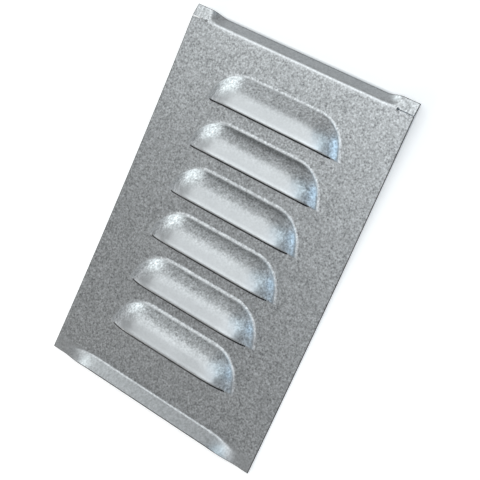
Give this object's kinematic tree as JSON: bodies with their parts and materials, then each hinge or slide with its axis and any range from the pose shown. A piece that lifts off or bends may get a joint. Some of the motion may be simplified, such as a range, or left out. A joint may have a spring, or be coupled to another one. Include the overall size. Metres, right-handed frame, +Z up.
{
  "type": "louvred sheet metal panel",
  "caption": "Rectangular ventilation panel pressed from one galvanised steel sheet, with a column of hooded louvres, a bent-back top strip with slit corner tabs, and a raised bottom strip.",
  "frame": {"origin": "centre of the footprint, on the surface that the panel lies on", "axes": "+Z up out of the louvred front face, +Y along the panel towards the bent-back top strip, +X across it"},
  "size_m": [0.15, 0.2338, 0.014],
  "materials": {
    "galvanised_sheet": "galvanised, fine matt spangle"
  },
  "bodies": {
    "root": {"louvred_panel": "galvanised_sheet"}
  },
  "joints": []
}
